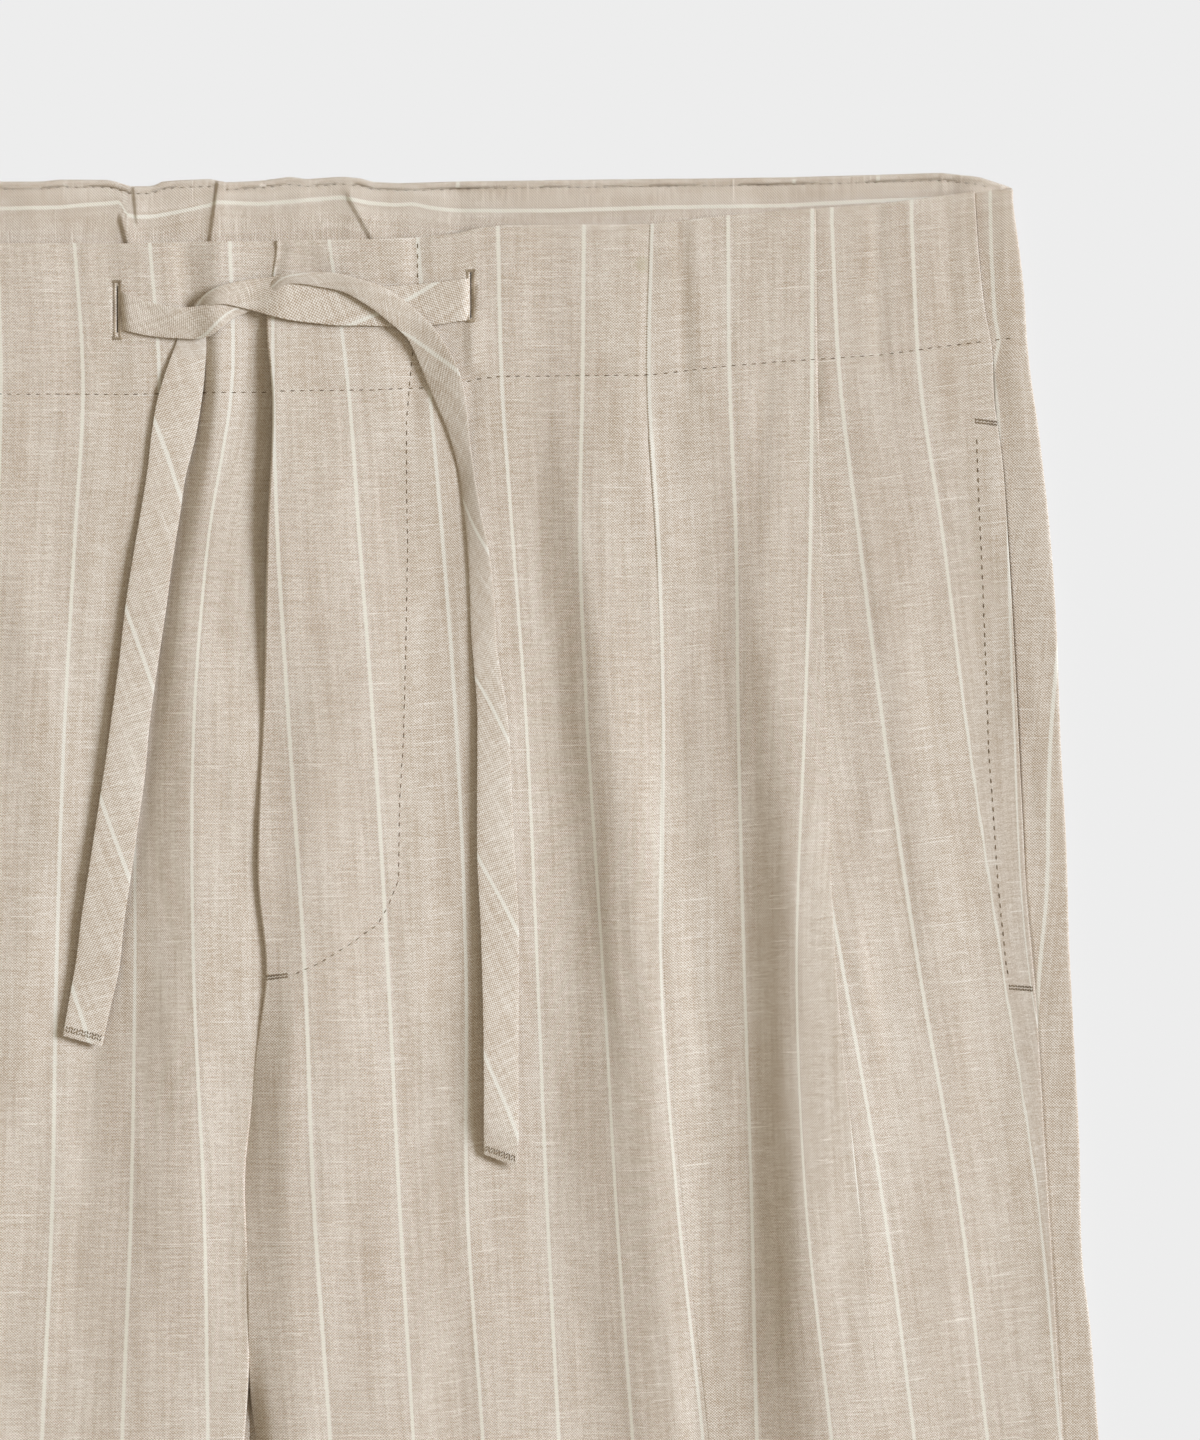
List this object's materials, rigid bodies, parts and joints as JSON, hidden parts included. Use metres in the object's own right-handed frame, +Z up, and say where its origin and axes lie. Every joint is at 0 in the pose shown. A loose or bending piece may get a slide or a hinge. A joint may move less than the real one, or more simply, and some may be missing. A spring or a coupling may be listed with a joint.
{
  "type": "linen shorts",
  "caption": "Pleated drawstring shorts in striped linen, laid flat with the front up: fly flap, side pocket mouths, turned hems and a flat drawstring crossed once with its tails hanging free.",
  "frame": {"origin": "middle of the garment's outline, at the surface that it lies on", "axes": "+Y from the hem to the waist, +X towards the wearer's left, +Z up from the surface"},
  "size_m": [0.5244, 0.543, 0.0086],
  "materials": {
    "striped_linen": "plain-weave flax-coloured linen with narrow ivory stripes, matt",
    "strap_linen": "the same linen cut on the bias, matt",
    "sewing_thread": "taupe sewing thread, slight sheen"
  },
  "bodies": {
    "root": {"front_left": "striped_linen", "front_right": "striped_linen", "back_left": "striped_linen", "back_right": "striped_linen", "back_waist_facing": "striped_linen", "drawstring_from_right_front": "strap_linen", "drawstring_from_left_front": "strap_linen"}
  },
  "joints": []
}
